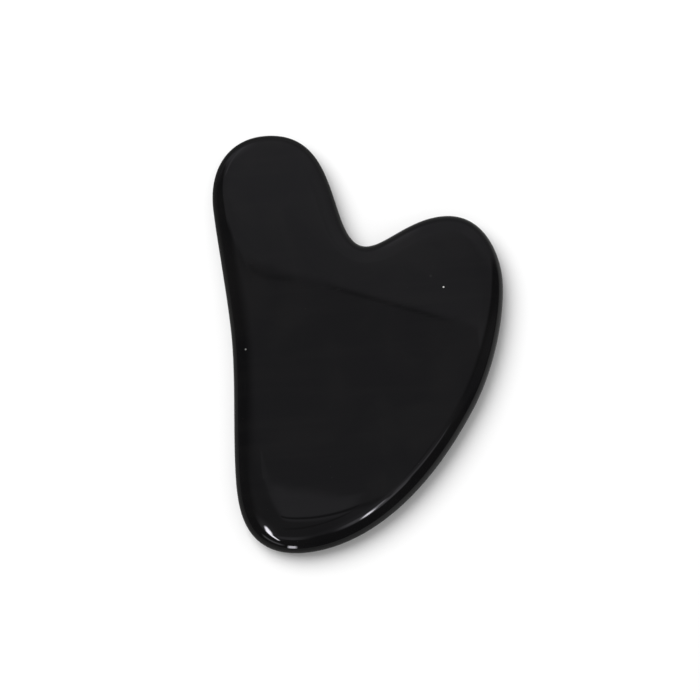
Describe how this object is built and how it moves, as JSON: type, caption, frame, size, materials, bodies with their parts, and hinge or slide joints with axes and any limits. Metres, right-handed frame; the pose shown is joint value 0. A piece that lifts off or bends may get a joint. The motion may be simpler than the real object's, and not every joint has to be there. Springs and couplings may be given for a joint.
{
  "type": "gua sha scraper",
  "caption": "Flat plate of polished black stone with a two-lobed outline, curved belly, blunt tip and fully rounded edge, for scraping and massaging skin.",
  "frame": {"origin": "middle of the outline's bounding box, on the flat face that the plate rests on", "axes": "+Z through the thickness, away from the resting face; +Y from the tip towards the two lobes; +X from the tall lobe's side towards the short lobe's side"},
  "size_m": [0.0536, 0.0816, 0.006],
  "materials": {
    "black_stone": "polished"
  },
  "bodies": {
    "root": {"stone_plate": "black_stone"}
  },
  "joints": []
}
